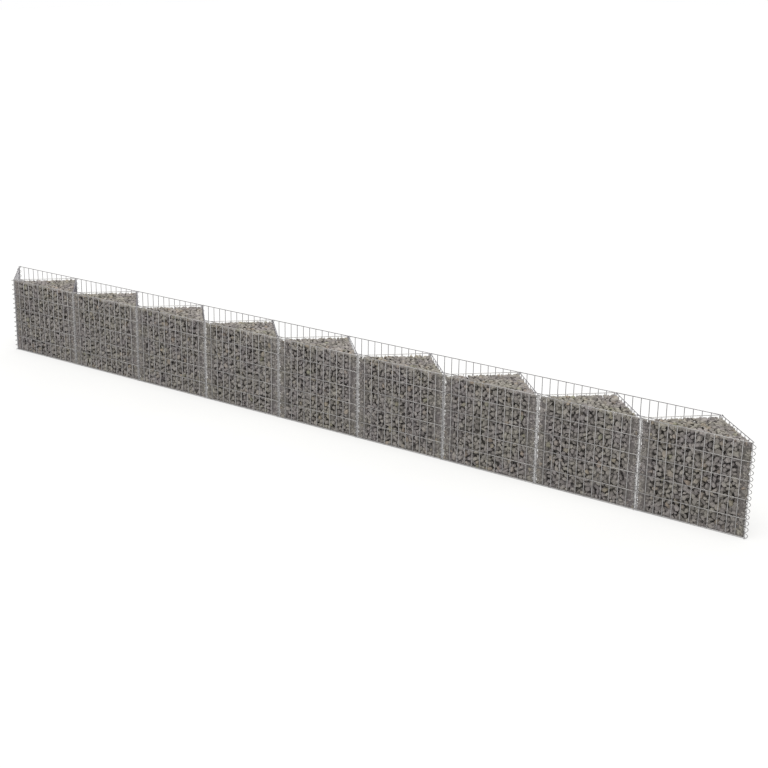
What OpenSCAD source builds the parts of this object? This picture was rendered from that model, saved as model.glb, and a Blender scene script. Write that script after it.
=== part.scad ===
// A gabion wall with a zig-zag plan: two straight rows of welded mesh panels, front and back,
// tied by slanted divider panels. Every bay is a three-sided basket filled with rubble. The
// three-sided pockets between the baskets, behind the front corners, stay empty.
// X runs along the wall, Y runs from the front row to the back row, and Z = 0 is the ground.
// The origin is under the middle of the wall.

/* [Wall] */
// Number of bays in the row
bays = 9; // [2:1:9]
// Length of one bay, from spiral to spiral
bay_length = 600; // [400:10:1000]
// Depth of the wall, from the front spirals to the back spirals
wall_depth = 300; // [200:10:400]
// Height of the mesh panels
wall_height = 500; // [300:10:1000]

/* [Mesh] */
// Thickness of the mesh wires
wire = 4; // [3:0.5:5]
// Number of gaps between the uprights of a front or back panel
straight_cells = 12; // [6:1:16]
// Number of gaps between the uprights of a divider panel
divider_cells = 8; // [4:1:12]
// Number of gaps between the rails, from bottom to top
rail_cells = 5; // [3:1:10]
// How far a rail is pressed into an upright where they are welded
weld_bite = 0.5; // [0.2:0.1:1]

/* [Spirals] */
// Thickness of the wire that laces the panels together
spiral_wire = 3; // [2:0.5:5]
// Distance from the middle of a corner to the last upright of a front or back panel
edge_setback = 4; // [4:0.5:8]

/* [Rubble] */
// How far the rubble stops below the top of the mesh
rubble_drop = 10; // [0:1:80]

/* [Clearance] */
// Gap between pieces that lie against each other
gap = 0.3; // [0.1:0.1:1]

/* [Hidden] */

// Angle between a front or back panel and a divider panel
divider_angle = atan2(wall_depth, bay_length / 2);
divider_length = norm([wall_depth, bay_length / 2]);

// How far a rail stands out from the middle plane of its panel
rail_reach = 1.5 * wire - weld_bite;

// A divider panel starts past the last uprights of the straight panels beside it, and
// far enough out for its rails to miss those of the divider panel across the corner.
upright_room = wire / 2 + gap;
divider_start = max(
    (edge_setback + upright_room) * cos(divider_angle) + upright_room * sin(divider_angle),
    (gap / 2 + rail_reach * sin(divider_angle)) / cos(divider_angle));
divider_setback = divider_start + wire / 2;

// A spiral passes round the last uprights of all the panels that meet in its corner.
spiral_bore = norm([divider_setback + wire / 2, wire / 2]) + gap;
spiral_radius = spiral_bore + spiral_wire;

// The rubble lies against the uprights and stops short of the spirals.
rubble_face = wire / 2 + gap;
rubble_tip = spiral_radius + gap;
rubble_height = wall_height - rubble_drop;

mesh_colour = [0.66, 0.66, 0.67];
spiral_colour = [0.76, 0.76, 0.77];
rubble_colour = [0.49, 0.47, 0.46];

// Corners are numbered from 0 along each row. Back corner i is half a bay before front corner i.
function front_corner(i) = [(i - (bays - 0.5) / 2) * bay_length, -wall_depth / 2];
function back_corner(i) = [(i - (bays + 0.5) / 2) * bay_length, wall_depth / 2];

// A panel is [start corner, direction, length between corners, number of gaps, setback at
// both ends, side that the rails are on: 1 is to the left of the direction, -1 to the right].
function front_panel(i) =
    [front_corner(i - 1), 0, bay_length, straight_cells, edge_setback, -1];
function back_panel(i) =
    [back_corner(i - 1), 0, bay_length, straight_cells, edge_setback, 1];
// From front corner i to back corner i + 1
function rising_divider(i) =
    [front_corner(i), divider_angle, divider_length, divider_cells, divider_setback, 1];
// From front corner i to back corner i
function falling_divider(i) =
    [front_corner(i), 180 - divider_angle, divider_length, divider_cells, divider_setback, -1];

function front_corner_panels(i) = concat(
    i > 0 ? [front_panel(i)] : [],
    i < bays ? [front_panel(i + 1), rising_divider(i)] : [],
    [falling_divider(i)]);
function back_corner_panels(i) = concat(
    i > 0 ? [back_panel(i), rising_divider(i - 1)] : [],
    i < bays ? [back_panel(i + 1)] : [],
    [falling_divider(i)]);

function numbered(name) = [for (i = [1:bays]) str(name, "_", i)];

module along(panel) {
    translate(panel[0])
        rotate(panel[1])
            children();
}

// The rails of a panel. Grown by some room, they cut the slots that they pass through.
module rails(panel, room = 0) {
    setback = panel[4] - wire / 2 - room;
    thickness = wire + 2 * room;
    middle = panel[5] * (wire - weld_bite);
    along(panel)
        for (k = [0:rail_cells])
            translate([setback, middle - thickness / 2, k * (wall_height - wire) / rail_cells - room])
                cube([panel[2] - 2 * setback, thickness, thickness]);
}

module uprights(panel) {
    span = panel[2] - 2 * panel[4];
    along(panel)
        for (k = [0:panel[3]])
            translate([panel[4] + k * span / panel[3] - wire / 2, -wire / 2, 0])
                cube([wire, wire, wall_height]);
}

module mesh_panel(panel) {
    color(mesh_colour) {
        uprights(panel);
        rails(panel);
    }
}

// The outer shape of a spiral: a sleeve as thick as its wire, slotted where rails pass through.
module spiral(corner, panels) {
    color(spiral_colour)
        difference() {
            translate(corner)
                linear_extrude(height = wall_height)
                    difference() {
                        circle(r = spiral_radius, $fn = 48);
                        circle(r = spiral_bore, $fn = 48);
                    }
            for (panel = panels)
                rails(panel, gap);
        }
}

// The two points where a basket's corner is cut off, square to the line that halves it
function cut_corner(corner, direction, half_angle) =
    let (half_width = (rubble_tip * sin(half_angle) - rubble_face) / cos(half_angle))
    [for (side = [-1, 1])
        corner
        + rubble_tip * [cos(direction), sin(direction)]
        + side * half_width * [-sin(direction), cos(direction)]];

module rubble(i) {
    color(rubble_colour)
        linear_extrude(height = rubble_height)
            polygon(concat(
                cut_corner(front_corner(i - 1), divider_angle / 2, divider_angle / 2),
                cut_corner(back_corner(i), -90, 90 - divider_angle),
                cut_corner(front_corner(i), 180 - divider_angle / 2, divider_angle / 2)));
}

for (i = [1:bays]) {
    mesh_panel(front_panel(i));
    mesh_panel(back_panel(i));
    union() {
        mesh_panel(rising_divider(i - 1));
        mesh_panel(falling_divider(i));
    }
    rubble(i);
}
mesh_panel(falling_divider(0));  // end_divider
for (i = [0:bays]) spiral(front_corner(i), front_corner_panels(i));  // front_spirals
for (i = [0:bays]) spiral(back_corner(i), back_corner_panels(i));  // back_spirals
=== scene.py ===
import math
import random

import bpy
import numpy as np
from mathutils import Matrix, Quaternion, Vector


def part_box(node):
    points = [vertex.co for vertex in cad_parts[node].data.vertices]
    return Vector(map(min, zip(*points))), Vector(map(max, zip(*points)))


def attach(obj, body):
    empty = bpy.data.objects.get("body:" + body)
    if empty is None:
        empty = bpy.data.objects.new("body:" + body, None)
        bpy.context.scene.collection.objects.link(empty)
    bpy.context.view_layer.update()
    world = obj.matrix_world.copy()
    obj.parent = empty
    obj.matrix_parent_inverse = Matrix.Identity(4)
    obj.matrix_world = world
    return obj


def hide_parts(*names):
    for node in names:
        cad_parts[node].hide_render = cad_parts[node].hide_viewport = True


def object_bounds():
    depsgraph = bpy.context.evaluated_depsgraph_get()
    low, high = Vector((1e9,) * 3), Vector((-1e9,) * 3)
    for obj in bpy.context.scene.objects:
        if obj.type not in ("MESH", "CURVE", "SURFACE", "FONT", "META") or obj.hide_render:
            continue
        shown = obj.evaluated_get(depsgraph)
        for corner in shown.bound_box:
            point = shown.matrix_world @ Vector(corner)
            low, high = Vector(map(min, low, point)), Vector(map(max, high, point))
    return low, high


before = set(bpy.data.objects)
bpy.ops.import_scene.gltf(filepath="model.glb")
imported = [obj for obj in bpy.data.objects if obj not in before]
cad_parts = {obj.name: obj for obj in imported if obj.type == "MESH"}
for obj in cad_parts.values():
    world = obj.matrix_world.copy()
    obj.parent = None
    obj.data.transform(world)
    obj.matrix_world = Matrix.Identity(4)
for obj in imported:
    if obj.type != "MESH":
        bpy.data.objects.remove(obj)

CAD_LOW, CAD_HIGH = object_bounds()

# Sizes of the real pieces, in metres
WIRE = 0.004
WELD_BITE = 0.0005           # how far a rail is pressed into the uprights
WELD_RADIUS = 0.62 * WIRE
WELD_SHAPE = (1.0, 0.55, 0.72)
SPIRAL_WIRE = 0.003
LACING_GAP = 0.0003          # from a spiral to the uprights inside it
UPRIGHT_GAPS = 12
DIVIDER_GAPS = 8
RAIL_GAPS = 5
SPIRAL_TURNS_PER_RAIL_GAP = 3
SPIRAL_STEP = math.radians(17)

# The wall's plan, read from the spirals that stand in its corners
BAYS = sum(name.startswith("front_panel_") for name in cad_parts)
FRONT_LOW, FRONT_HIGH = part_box("front_spirals")
BACK_LOW, BACK_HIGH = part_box("back_spirals")
SPIRAL_RADIUS = (FRONT_HIGH.y - FRONT_LOW.y) / 2
FRONT_Y = (FRONT_LOW.y + FRONT_HIGH.y) / 2
BACK_Y = (BACK_LOW.y + BACK_HIGH.y) / 2
FRONT_START = FRONT_LOW.x + SPIRAL_RADIUS
BACK_START = BACK_LOW.x + SPIRAL_RADIUS
BAY = (FRONT_HIGH.x - FRONT_LOW.x - 2 * SPIRAL_RADIUS) / BAYS
DEPTH = BACK_Y - FRONT_Y
HEIGHT = CAD_HIGH.z - CAD_LOW.z
DIVIDER_ANGLE = math.atan2(DEPTH, BAY / 2)
DIVIDER_LENGTH = math.hypot(DEPTH, BAY / 2)
STRAIGHT_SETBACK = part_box("front_panel_1")[0].x + WIRE / 2 - FRONT_START
DIVIDER_SETBACK = math.sqrt((SPIRAL_RADIUS - SPIRAL_WIRE - LACING_GAP) ** 2 - (WIRE / 2) ** 2) - WIRE / 2

# The space that the stones fill in a basket
STONES_PROUD = 0.005         # the stones stand this much above the plain fill
FILL_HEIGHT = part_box("rubble_fill_1")[1].z + STONES_PROUD
FILL_FACE = 0.0008           # from the middle plane of a panel to the stones
FILL_FLOOR = 0.0005
FILL_TIP = 0.0075            # from the middle of a corner to the stones

# Rock shapes, about 2 across: each is scaled by a stone's radius
ROCK_SHAPES = 30
ROCK_BLANK = 2.4
ROCK_FACES = 11
ROCK_FACE_NEAREST, ROCK_FACE_FARTHEST = 0.62, 0.98
ROCK_SHORTEST_EDGE = 0.13
ROCK_TILT = 0.32             # about how far a broken face is turned from its even place, in radians
GOLDEN_ANGLE = math.radians(137.508)

# Stones, as (radius, tries), and how they lie
OUTER_STONES = ((0.0165, 400), (0.0145, 2500), (0.0125, 7500), (0.0105, 8500), (0.0085, 3500))
INNER_STONES = ((0.0180, 1500), (0.0145, 2500))
INNER_DEPTH = 0.013
CHIP_COLUMNS = ((0.0125, 0.0060), (0.0225, 0.0090), (0.0350, 0.0115))   # (distance from the corner, radius)
RIM_STONE = 0.0118
RIM_START, RIM_END = 0.045, 0.020   # how far from the corners the rows along the edges start and stop
LAID_TILT = 0.25             # about how far a stone's face is tilted off the face it lies on, in radians
UNEVEN = 0.0015              # how unevenly the stones are set back
REST = 0.85                  # a stone's middle is tried this many radii from the face it lies on
ROOM = 0.55                  # and at least this many from every face
CLOSENESS = 0.84             # least distance of two middles, as a share of the two radii
SHRINK = 0.97                # a stone that would cross a face is pushed in and made this much smaller

# Dark blocks painted as the shade between the stones: a core, thin blades of it at the front corners, and a
# bed of fines at the bottom, partly real fines and partly painted shade
CORE_DEPTH = 0.027
CORE_DROP = 0.020
CORE_LIFT = 0.002
BLADE_DEPTH = 0.0048
BLADE_LENGTH = 0.072
FINES_DEPTH = 0.003
FINES_HEIGHT = 0.009

# Tones from 0 to 1, dark to pale and then to brown and olive
# The core, the blades and the fines are darker than any stone: painted shade.
CORE_SHADE_TONE, BLADE_SHADE_TONE, FINES_SHADE_TONE = 0.06, 0.08, 0.12
# Stones at the top get a higher mean tone than those on the sides, so they are lighter and warmer: painted
# light from above.
SIDE_TONE, LIT_TOP_TONE, TONE_SPREAD = 0.57, 0.63, 0.17
DARKEST_STONE = 0.12

# Places of the first faces in basket_faces(), and the ground lines of the upright ones
FRONT, LEFT, RIGHT, FLOOR, TOP = range(5)
APEX = Vector((BAY / 2, DEPTH, 0))
SIDE_LINES = {
    FRONT: (Vector((0, 0, 0)), Vector((BAY, 0, 0))),
    LEFT: (Vector((0, 0, 0)), APEX),
    RIGHT: (Vector((BAY, 0, 0)), APEX),
}


def front_corner(number):
    return Vector((FRONT_START + number * BAY, FRONT_Y, 0))


def back_corner(number):
    return Vector((BACK_START + number * BAY, BACK_Y, 0))


# ---------------------------------------------------------------- modelling by hand


def clear_selection():
    if bpy.context.object and bpy.context.object.mode == "EDIT":
        bpy.ops.object.mode_set(mode="OBJECT")
    bpy.ops.object.select_all(action="DESELECT")


def pick(*pieces):
    clear_selection()
    for piece in pieces:
        piece.select_set(True)
    bpy.context.view_layer.objects.active = pieces[0]
    return pieces[0]


def settle(piece):
    """Leaves the object at the origin, with its place in its mesh."""
    pick(piece)
    bpy.ops.object.transform_apply(location=True, rotation=True, scale=True)
    return piece


def join(pieces, name):
    whole = pick(*pieces)
    if len(pieces) > 1:
        bpy.ops.object.join()
    whole.name = whole.data.name = name
    return settle(whole)


def repeat(piece, count, step):
    """Copies the piece along a row and keeps the copies in one mesh."""
    pick(piece)
    bpy.ops.object.modifier_add(type="ARRAY")
    row = piece.modifiers[-1]
    row.count = count
    row.use_relative_offset = False
    row.use_constant_offset = True
    row.constant_offset_displace = step
    bpy.ops.object.modifier_apply(modifier=row.name)
    return piece


def copy_of(piece, name, place, turn=0.0):
    """A copy with its own mesh, turned about Z and then moved."""
    twin = piece.copy()
    twin.data = piece.data.copy()
    twin.name = twin.data.name = name
    bpy.context.scene.collection.objects.link(twin)
    twin.data.transform(Matrix.Translation(place) @ Matrix.Rotation(turn, 4, "Z"))
    return twin


def remove(*pieces):
    for piece in pieces:
        bpy.data.objects.remove(piece)


# ---------------------------------------------------------------- finishes


class Finish:
    """A material, with short ways to add and wire up its nodes."""

    def __init__(self, name):
        self.material = bpy.data.materials.new(name)
        self.material.use_nodes = True
        self.nodes = self.material.node_tree.nodes
        self.links = self.material.node_tree.links
        self.shader = self.nodes["Principled BSDF"]
        self.place = self.nodes.new("ShaderNodeTexCoord").outputs["Object"]

    def link(self, source, target):
        self.links.new(source, target)

    def noise(self, scale, detail=4.0, roughness=0.55):
        node = self.nodes.new("ShaderNodeTexNoise")
        node.inputs["Scale"].default_value = scale
        node.inputs["Detail"].default_value = detail
        node.inputs["Roughness"].default_value = roughness
        self.link(self.place, node.inputs["Vector"])
        return node.outputs["Fac"]

    def cells(self, scale):
        node = self.nodes.new("ShaderNodeTexVoronoi")
        node.inputs["Scale"].default_value = scale
        self.link(self.place, node.inputs["Vector"])
        return node.outputs["Distance"]

    def attribute(self, name):
        node = self.nodes.new("ShaderNodeAttribute")
        node.attribute_name = name
        return node.outputs["Fac"]

    def ramp(self, factor, stops):
        node = self.nodes.new("ShaderNodeValToRGB")
        marks = node.color_ramp.elements
        while len(marks) < len(stops):
            marks.new(0.5)
        for mark, (position, colour) in zip(marks, stops):
            mark.position = position
            mark.color = (*colour, 1.0)
        self.link(factor, node.inputs["Fac"])
        return node.outputs["Color"]

    def mix(self, factor, first, second, blend="MIX"):
        node = self.nodes.new("ShaderNodeMix")
        node.data_type = "RGBA"
        node.blend_type = blend
        for value, socket in ((factor, node.inputs[0]), (first, node.inputs[6]), (second, node.inputs[7])):
            if isinstance(value, (int, float, tuple)):
                socket.default_value = (*value, 1.0) if isinstance(value, tuple) else value
            else:
                self.link(value, socket)
        return node.outputs[2]

    def sums(self, operation, first, second):
        node = self.nodes.new("ShaderNodeMath")
        node.operation = operation
        for value, socket in ((first, node.inputs[0]), (second, node.inputs[1])):
            if isinstance(value, (int, float)):
                socket.default_value = value
            else:
                self.link(value, socket)
        return node.outputs[0]

    def span(self, value, low, high):
        """A 0 to 1 value, stretched to run from low to high."""
        node = self.nodes.new("ShaderNodeMapRange")
        node.inputs["To Min"].default_value = low
        node.inputs["To Max"].default_value = high
        self.link(value, node.inputs["Value"])
        return node.outputs["Result"]

    def bump(self, height, strength, distance):
        node = self.nodes.new("ShaderNodeBump")
        node.inputs["Strength"].default_value = strength
        node.inputs["Distance"].default_value = distance
        self.link(height, node.inputs["Height"])
        self.link(node.outputs["Normal"], self.shader.inputs["Normal"])


def galvanised(name, darker, lighter, shine=0.85):
    """Zinc-coated wire: cloudy grey with small spangles and a slightly uneven coat."""
    zinc = Finish(name)
    cloud = zinc.noise(38.0, 3.0)
    spangle = zinc.cells(420.0)
    tone = zinc.sums("ADD", zinc.sums("MULTIPLY", cloud, 0.75), zinc.sums("MULTIPLY", spangle, 0.35))
    zinc.link(zinc.ramp(tone, [(0.25, darker), (0.75, lighter)]), zinc.shader.inputs["Base Color"])
    zinc.link(zinc.span(cloud, 0.38, 0.62), zinc.shader.inputs["Roughness"])
    zinc.shader.inputs["Metallic"].default_value = shine
    zinc.bump(zinc.noise(900.0, 2.0), 0.25, 0.0004)
    return zinc.material


def crushed_rock():
    """Crushed rock: every stone has a tone of its own, with mineral clouds, grains and a rough skin."""
    rock = Finish("crushed_rock")
    tone = rock.attribute("stone_tone")
    own = rock.ramp(tone, [
        # The lowest stops, below DARKEST_STONE, colour only the dark blocks of painted shade.
        (0.00, (0.060, 0.055, 0.050)),
        (0.12, (0.162, 0.151, 0.148)),
        (0.35, (0.202, 0.189, 0.185)),
        (0.60, (0.240, 0.226, 0.217)),
        (0.80, (0.280, 0.267, 0.248)),
        (0.92, (0.260, 0.222, 0.188)),
        (1.00, (0.230, 0.225, 0.180)),
    ])
    patches = rock.ramp(rock.noise(6.5, 3.0), [(0.38, (1.05, 1.03, 1.07)), (0.62, (1.06, 1.06, 1.0))])
    own = rock.mix(1.0, own, patches, "MULTIPLY")
    cloud = rock.noise(34.0, 5.0, 0.6)
    clouds = rock.ramp(cloud, [(0.28, (0.34, 0.33, 0.33)), (0.72, (1.25, 1.24, 1.22))])
    clouded = rock.mix(0.55, own, clouds, "MULTIPLY")
    grains = rock.ramp(rock.noise(520.0, 3.0, 0.7), [(0.32, (0.55, 0.55, 0.55)), (0.68, (1.4, 1.4, 1.38))])
    rock.link(rock.mix(0.45, clouded, grains, "MULTIPLY"), rock.shader.inputs["Base Color"])
    rock.link(rock.span(cloud, 0.78, 0.97), rock.shader.inputs["Roughness"])
    rock.shader.inputs["Specular IOR Level"].default_value = 0.3
    chipped = rock.noise(75.0, 6.0, 0.65)
    gritty = rock.sums("MULTIPLY", rock.noise(420.0, 3.0), 0.22)
    rock.bump(rock.sums("ADD", chipped, gritty), 0.85, 0.006)
    return rock.material


def studio_floor():
    """Pale and evenly bright, like a light table, so that it carries no more than a faint shadow."""
    floor = Finish("studio_floor")
    shade = floor.ramp(floor.noise(0.8, 2.0), [(0.3, (0.235, 0.235, 0.235)), (0.7, (0.25, 0.25, 0.25))])
    floor.link(shade, floor.shader.inputs["Base Color"])
    floor.shader.inputs["Roughness"].default_value = 0.9
    floor.shader.inputs["Specular IOR Level"].default_value = 0.0
    floor.shader.inputs["Emission Color"].default_value = (1, 1, 1, 1)
    floor.shader.inputs["Emission Strength"].default_value = 0.62
    return floor.material


# ---------------------------------------------------------------- mesh panels


def round_wire(length, middle, lying=False):
    """A straight wire with its cut ends broken by a small chamfer."""
    clear_selection()
    turn = (0, math.pi / 2, 0) if lying else (0, 0, 0)
    bpy.ops.mesh.primitive_cylinder_add(vertices=12, radius=WIRE / 2, depth=length, location=middle,
                                        rotation=turn)
    wire = settle(bpy.context.object)
    bpy.ops.object.mode_set(mode="EDIT")
    bpy.ops.mesh.select_all(action="DESELECT")
    bpy.ops.object.mode_set(mode="OBJECT")
    for face in wire.data.polygons:
        face.select = len(face.vertices) > 4
    bpy.ops.object.mode_set(mode="EDIT")
    bpy.ops.mesh.bevel(offset=WIRE / 10, segments=1, affect="EDGES")
    bpy.ops.object.mode_set(mode="OBJECT")
    return wire


def mesh_panel(name, length, setback, gaps, side, upright_zinc, rail_zinc):
    """Uprights on the panel's plane, and rails welded across them on one side of it."""
    inner = length - 2 * setback
    step = inner / gaps
    rise = (HEIGHT - WIRE) / RAIL_GAPS
    rail_y = side * (WIRE - WELD_BITE)
    uprights = repeat(round_wire(HEIGHT, (setback, 0, HEIGHT / 2)), gaps + 1, (step, 0, 0))
    rails = repeat(round_wire(inner + WIRE, (length / 2, rail_y, WIRE / 2), lying=True),
                   RAIL_GAPS + 1, (0, 0, rise))
    clear_selection()
    bpy.ops.mesh.primitive_ico_sphere_add(subdivisions=1, radius=WELD_RADIUS,
                                          location=(setback, rail_y / 2, WIRE / 2))
    weld = bpy.context.object
    weld.scale = WELD_SHAPE
    settle(weld)
    repeat(weld, gaps + 1, (step, 0, 0))
    repeat(weld, RAIL_GAPS + 1, (0, 0, rise))
    uprights.data.materials.append(upright_zinc)
    rails.data.materials.append(rail_zinc)
    weld.data.materials.append(rail_zinc)
    panel = join([uprights, rails, weld], name)
    bpy.ops.object.shade_smooth_by_angle(angle=math.radians(50))
    return panel


# ---------------------------------------------------------------- spirals


def spiral_row(name, first_corner, outward):
    """A lacing wire in every corner of one row. It passes each rail on the outer side, clear of it."""
    turns = RAIL_GAPS * SPIRAL_TURNS_PER_RAIL_GAP
    pitch = (HEIGHT - WIRE) / turns
    start = SPIRAL_WIRE / 2
    rise = HEIGHT - SPIRAL_WIRE
    angle = rise / pitch * 2 * math.pi
    radius = SPIRAL_RADIUS - SPIRAL_WIRE / 2
    clear_selection()
    bpy.ops.mesh.primitive_circle_add(vertices=8, radius=SPIRAL_WIRE / 2, fill_type="NGON",
                                      location=(radius, 0, start), rotation=(math.pi / 2, 0, 0))
    spiral = settle(bpy.context.object)
    bpy.ops.object.modifier_add(type="SCREW")
    screw = spiral.modifiers[-1]
    screw.angle = angle
    screw.screw_offset = rise
    screw.steps = screw.render_steps = round(angle / SPIRAL_STEP)
    screw.use_smooth_shade = True
    bpy.ops.object.modifier_apply(modifier=screw.name)
    bpy.ops.object.mode_set(mode="EDIT")
    bpy.ops.mesh.select_all(action="SELECT")
    bpy.ops.mesh.remove_doubles(threshold=0.00002)
    bpy.ops.mesh.select_all(action="DESELECT")
    bpy.ops.mesh.select_non_manifold()
    bpy.ops.mesh.edge_face_add()
    bpy.ops.mesh.select_all(action="SELECT")
    bpy.ops.mesh.normals_make_consistent(inside=False)
    bpy.ops.object.mode_set(mode="OBJECT")
    phase = outward + (start - WIRE / 2) / pitch * 2 * math.pi
    spiral.data.transform(Matrix.Translation(first_corner) @ Matrix.Rotation(phase, 4, "Z"))
    repeat(spiral, BAYS + 1, (BAY, 0, 0))
    spiral.name = spiral.data.name = name
    pick(spiral)
    bpy.ops.object.shade_smooth_by_angle(angle=math.radians(60))
    return spiral


# ---------------------------------------------------------------- rubble


def flat(angle):
    return Vector((math.cos(angle), math.sin(angle), 0))


def basket_faces():
    """The planes round the stones of the basket whose left front corner is at the origin.

    Each is a point on the plane and its outward normal.
    """
    right = Vector((BAY, 0, 0))
    left_out = flat(DIVIDER_ANGLE + math.pi / 2)
    right_out = flat(math.pi / 2 - DIVIDER_ANGLE)
    return [
        (Vector((0, FILL_FACE, 0)), Vector((0, -1, 0))),
        (-FILL_FACE * left_out, left_out),
        (right - FILL_FACE * right_out, right_out),
        (Vector((0, 0, FILL_FLOOR)), Vector((0, 0, -1))),
        (Vector((0, 0, FILL_HEIGHT)), Vector((0, 0, 1))),
        (FILL_TIP * flat(DIVIDER_ANGLE / 2), -flat(DIVIDER_ANGLE / 2)),
        (right + FILL_TIP * flat(math.pi - DIVIDER_ANGLE / 2), -flat(math.pi - DIVIDER_ANGLE / 2)),
        (APEX - Vector((0, FILL_TIP, 0)), Vector((0, 1, 0))),
    ]


def cut_off(point, out):
    bpy.ops.mesh.select_all(action="SELECT")
    bpy.ops.mesh.bisect(plane_co=point, plane_no=out, use_fill=True, clear_outer=True)


def tilted(rnd, out, most):
    wobble = Vector((rnd.uniform(-1, 1), rnd.uniform(-1, 1), rnd.uniform(-1, 1))) * math.tan(most)
    return (out + wobble).normalized()


def rough_stone(rnd, number):
    """A piece of crushed rock, about 2 across and broken off flat on all sides."""
    clear_selection()
    bpy.ops.mesh.primitive_cube_add(size=ROCK_BLANK)
    stone = bpy.context.object
    stone.name = stone.data.name = f"rock_{number}"
    bpy.ops.object.mode_set(mode="EDIT")
    for cut in range(ROCK_FACES):
        height = 1 - (2 * cut + 1) / ROCK_FACES
        out = flat(cut * GOLDEN_ANGLE) * math.sqrt(1 - height ** 2) + Vector((0, 0, height))
        out = tilted(rnd, out, ROCK_TILT)
        cut_off(out * rnd.uniform(ROCK_FACE_NEAREST, ROCK_FACE_FARTHEST), out)
    bpy.ops.mesh.select_all(action="SELECT")
    bpy.ops.mesh.remove_doubles(threshold=ROCK_SHORTEST_EDGE)
    bpy.ops.object.mode_set(mode="OBJECT")
    length = rnd.uniform(1.1, 1.5)
    width = rnd.uniform(0.85, 1.05)
    thickness = rnd.uniform(0.65, 0.9)
    stone.data.transform(Matrix.Diagonal((length, width, thickness, 1)))
    return stone


def corner_chips(rnd):
    """Small stones that fill the narrow front corners of a basket, in columns from the ground up.

    A stone is its middle, its radius, the faces it touches, and how far behind them it lies.
    """
    chips = []
    half = DIVIDER_ANGLE / 2
    for side, line in ((LEFT, half), (RIGHT, math.pi - half)):
        corner = SIDE_LINES[side][0]
        for distance, size in CHIP_COLUMNS:
            height = size * rnd.uniform(0.6, 1.2)
            while height < FILL_HEIGHT - 0.3 * size:
                spot = corner + flat(line) * (distance + rnd.uniform(-0.001, 0.001))
                home = rnd.choice((FRONT, side))
                chips.append((spot + Vector((0, 0, height)), size * rnd.uniform(0.85, 1.15), (home,), 0.0))
                height += size * rnd.uniform(1.1, 1.6)
    return chips


def rim_stones(rnd, walls):
    """Stones in a row along each upper and lower edge, level with the fill and close to the mesh."""
    rim = []
    for side, (start, end) in SIDE_LINES.items():
        length = (end - start).length
        for level in (TOP, FLOOR):
            along = RIM_START + RIM_STONE * rnd.uniform(0, 1)
            while along < length - RIM_END:
                size = RIM_STONE * rnd.uniform(0.85, 1.2)
                spot = start.lerp(end, along / length) - walls[side][1] * REST * size
                spot.z = FILL_HEIGHT - REST * size if level == TOP else REST * size
                rim.append((spot, size, (side, TOP) if level == TOP else (FLOOR, side), 0.0))
                along += size * rnd.uniform(1.6, 2.0)
    return rim


def scatter(rnd, walls, stones, sorts, depth):
    """Adds stones at random against the mesh and at the top, or a depth behind them, large ones first.

    A stone that comes too close to another, or to a face, is left out.
    """
    spots = np.array([stone[0] for stone in stones]).reshape(-1, 3)
    sizes = np.array([stone[1] for stone in stones])
    points = np.array([point for point, _ in walls])
    outs = np.array([out for _, out in walls])
    for size, tries in sorts:
        for _ in range(tries):
            home = rnd.choice((FRONT, FRONT, FRONT, LEFT, LEFT, RIGHT, RIGHT, TOP))
            if home == TOP:
                across, back = rnd.uniform(0, BAY), rnd.uniform(0, DEPTH)
                spot = np.array([across, back, FILL_HEIGHT - depth - REST * size])
            else:
                start, end = SIDE_LINES[home]
                inset = FILL_FACE + depth + REST * size
                spot = np.array(start.lerp(end, rnd.random())) - outs[home] * inset
                spot[2] = rnd.uniform(0, FILL_HEIGHT)
            if ((points - spot) * outs).sum(axis=1).min() < ROOM * size:
                continue
            if (np.linalg.norm(spots - spot, axis=1) > CLOSENESS * (sizes + size)).all():
                stones.append((Vector(spot), size * rnd.uniform(0.92, 1.08), (home,), depth))
                spots = np.vstack((spots, spot))
                sizes = np.append(sizes, size)


def lay(rnd, shape, walls, spot, size, homes, depth):
    """Lays a copy of one rock in a basket: a flat face to the mesh, and no corner through it."""
    out = walls[homes[-1]][1]
    face = rnd.choice(shape.data.polygons)
    spin = Quaternion(out, rnd.uniform(0, 2 * math.pi))
    turn = spin @ face.normal.rotation_difference(tilted(rnd, out, LAID_TILT))
    corners = np.array([turn @ vert.co for vert in shape.data.vertices]) * size
    place = np.array(spot)
    points = np.array([point for point, _ in walls])
    outs = np.array([out for _, out in walls])
    for home in homes:
        reach = (corners @ outs[home]).max()
        push = abs(rnd.gauss(0, UNEVEN))
        place += outs[home] * (((points[home] - place) @ outs[home]) - reach - depth - push)
    for _ in range(10):
        over = (((corners + place)[:, None, :] - points) * outs).sum(axis=2).max(axis=0)
        worst = over.argmax()
        if over[worst] < 0.0001:
            break
        place -= outs[worst] * over[worst]
        corners *= SHRINK
        size *= SHRINK
    stone = shape.copy()
    stone.data = shape.data.copy()
    bpy.context.scene.collection.objects.link(stone)
    stone.data.transform(Matrix.LocRotScale(Vector(place), turn, Vector((size, size, size))))
    return stone


def painted_shade_block(walls, depth, *ends):
    """A dark block in the middle of a basket: painted shade that shows only between the stones."""
    clear_selection()
    bpy.ops.mesh.primitive_cube_add(size=2 * BAY, location=(BAY / 2, DEPTH / 2, FILL_HEIGHT / 2))
    core = bpy.context.object
    bpy.ops.object.mode_set(mode="EDIT")
    for point, out in walls:
        inset = CORE_DROP if out.z > 0 else CORE_LIFT if out.z < 0 else depth
        cut_off(point - out * inset, out)
    for point, out in ends:
        cut_off(point, out)
    bpy.ops.object.mode_set(mode="OBJECT")
    return core


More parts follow.
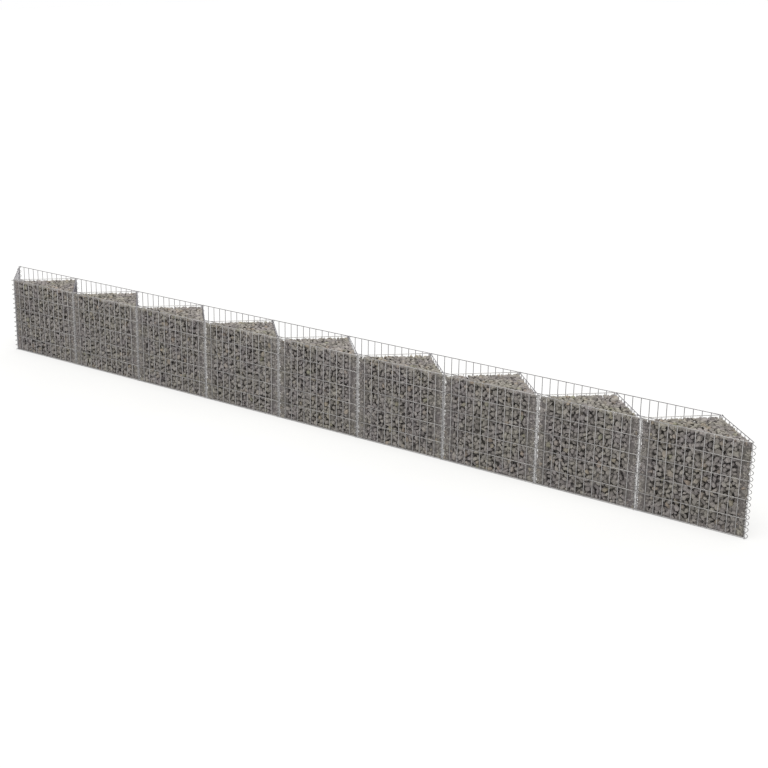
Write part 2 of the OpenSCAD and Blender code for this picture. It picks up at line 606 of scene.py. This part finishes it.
def basket_of_rubble(name, rnd, shapes, rock):
    """The stones of one basket as a joined mesh, with a tone of its own for each stone."""
    walls = basket_faces()
    near_left = (Vector((BLADE_LENGTH, 0, 0)), Vector((1, 0, 0)))
    near_right = (Vector((BAY - BLADE_LENGTH, 0, 0)), Vector((-1, 0, 0)))
    over_fines = (Vector((0, 0, FINES_HEIGHT)), Vector((0, 0, 1)))
    # Dark blocks of painted shade: the core, the blades at the front corners and the bed of fines.
    pieces = [painted_shade_block(walls, CORE_DEPTH), painted_shade_block(walls, BLADE_DEPTH, near_left),
              painted_shade_block(walls, BLADE_DEPTH, near_right), painted_shade_block(walls, FINES_DEPTH, over_fines)]
    tones = [CORE_SHADE_TONE, BLADE_SHADE_TONE, BLADE_SHADE_TONE, FINES_SHADE_TONE]
    outer = corner_chips(rnd) + rim_stones(rnd, walls)
    scatter(rnd, walls, outer, OUTER_STONES, 0.0)
    inner = []
    scatter(rnd, walls, inner, INNER_STONES, INNER_DEPTH)
    for stone in outer + inner:
        pieces.append(lay(rnd, rnd.choice(shapes), walls, *stone))
        # The higher mean tone of the top stones is painted light.
        tone = rnd.gauss(LIT_TOP_TONE if TOP in stone[2] else SIDE_TONE, TONE_SPREAD)
        tones.append(min(max(tone, DARKEST_STONE), 1.0))
    for stone, tone in zip(pieces, tones):
        mark = stone.data.attributes.new("stone_tone", "FLOAT", "FACE")
        mark.data.foreach_set("value", [tone] * len(stone.data.polygons))
    rubble = join(pieces, name)
    rubble.data.materials.clear()
    rubble.data.materials.append(rock)
    return rubble


# ---------------------------------------------------------------- light and camera


def studio():
    scene = bpy.context.scene
    clear_selection()
    bpy.ops.mesh.primitive_plane_add(size=80, location=(0, 20, -0.001))
    floor = bpy.context.object
    floor.name = "studio_floor"
    floor.data.materials.append(studio_floor())
    settle(floor)
    world = bpy.data.worlds.new("studio_white")
    world.use_nodes = True
    world.node_tree.nodes["Background"].inputs["Color"].default_value = (1, 1, 1, 1)
    world.node_tree.nodes["Background"].inputs["Strength"].default_value = 1.0
    scene.world = world
    clear_selection()
    bpy.ops.object.light_add(type="SUN", location=(-2.0, -3.0, 8.0))
    sun = bpy.context.object
    sun.name = "overhead_light"
    sun.data.energy = 2.4
    sun.data.angle = math.radians(50)
    sun.data.color = (1.0, 0.985, 0.92)
    sun.rotation_euler = Vector((-0.14, 0.20, -1.0)).to_track_quat("-Z", "Y").to_euler()
    scene.view_settings.view_transform = "Standard"


def camera():
    """Stands off the right-hand end of the wall, a little above it."""
    bearing, dip, roll = math.radians(36.154), math.radians(17.17), math.radians(0.856)
    bpy.ops.object.camera_add()
    eye = bpy.context.object
    eye.name = "camera"
    eye.data.lens = 67.36
    eye.matrix_world = (
        Matrix.Translation((5.261, -6.472, 2.783))
        @ Matrix.Rotation(bearing, 4, "Z")
        @ Matrix.Rotation(math.pi / 2 - dip, 4, "X")
        @ Matrix.Rotation(roll, 4, "Z"))
    bpy.context.scene.camera = eye


# ---------------------------------------------------------------- the wall


def on_the_wall(piece, finish_slot, *nodes):
    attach(piece, "root")
    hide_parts(*nodes)


# The front uprights and the rising dividers take the lighter copy of the zinc, painted light; the front
# rails take a darker copy, and the back panels and falling dividers the darkest, painted shade.
def build_mesh(lighter, rail_shade, darker):
    front = mesh_panel("front_pattern", BAY, STRAIGHT_SETBACK, UPRIGHT_GAPS, -1, lighter, rail_shade)
    back = mesh_panel("back_pattern", BAY, STRAIGHT_SETBACK, UPRIGHT_GAPS, 1, darker, darker)
    rising = mesh_panel("rising_pattern", DIVIDER_LENGTH, DIVIDER_SETBACK, DIVIDER_GAPS, 1, lighter, lighter)
    falling = mesh_panel("falling_pattern", DIVIDER_LENGTH, DIVIDER_SETBACK, DIVIDER_GAPS, -1, darker, darker)
    back_turn = math.pi - DIVIDER_ANGLE
    for bay in range(1, BAYS + 1):
        on_the_wall(copy_of(front, f"front_mesh_{bay}", front_corner(bay - 1)), "mesh_wire",
                    f"front_panel_{bay}")
        on_the_wall(copy_of(back, f"back_mesh_{bay}", back_corner(bay - 1)), "mesh_wire",
                    f"back_panel_{bay}")
        one = copy_of(rising, "rising", front_corner(bay - 1), DIVIDER_ANGLE)
        two = copy_of(falling, "falling", front_corner(bay), back_turn)
        on_the_wall(join([one, two], f"divider_mesh_{bay}"), "mesh_wire", f"divider_pair_{bay}")
    on_the_wall(copy_of(falling, "end_mesh", front_corner(0), back_turn), "mesh_wire", "end_divider")
    remove(front, back, rising, falling)


def build_spirals(lighter, darker):
    rows = (("front", front_corner(0), -math.pi / 2), ("back", back_corner(0), math.pi / 2))
    for row, corner, outward in rows:
        spiral = spiral_row(f"{row}_lacing", corner, outward)
        spiral.data.materials.append(lighter)
        spiral.data.materials.append(darker)
        for face in spiral.data.polygons:
            # The lacing in the two end corners takes the second, darker copy of the zinc: painted shade.
            face.material_index = int(abs(face.center.x - corner.x - BAYS * BAY / 2) > (BAYS - 1) * BAY / 2)
        on_the_wall(spiral, "spiral_wire", f"{row}_spirals")


def build_rubble(rock):
    rnd = random.Random(11)
    shapes = [rough_stone(rnd, number) for number in range(ROCK_SHAPES)]
    for bay in range(1, BAYS + 1):
        rubble = basket_of_rubble(f"stones_{bay}", rnd, shapes, rock)
        rubble.data.transform(Matrix.Translation(front_corner(bay - 1)))
        on_the_wall(rubble, "rubble", f"rubble_fill_{bay}")
    remove(*shapes)


# Lit and shaded copies of one galvanised zinc: painted light and painted shade.
build_mesh(galvanised("painted_lit_zinc", (0.33, 0.322, 0.32), (0.52, 0.51, 0.505)),
           galvanised("painted_shade_rail_zinc", (0.235, 0.23, 0.229), (0.37, 0.362, 0.36)),
           galvanised("painted_shade_zinc", (0.16, 0.152, 0.165), (0.27, 0.26, 0.28)))
# The end lacing is a darker copy of the lacing zinc: painted shade.
build_spirals(galvanised("lacing_zinc", (0.31, 0.305, 0.302), (0.46, 0.453, 0.45), 0.4),
              galvanised("painted_shade_end_lacing_zinc", (0.10, 0.096, 0.10), (0.18, 0.175, 0.18)))
build_rubble(crushed_rock())
studio()
camera()
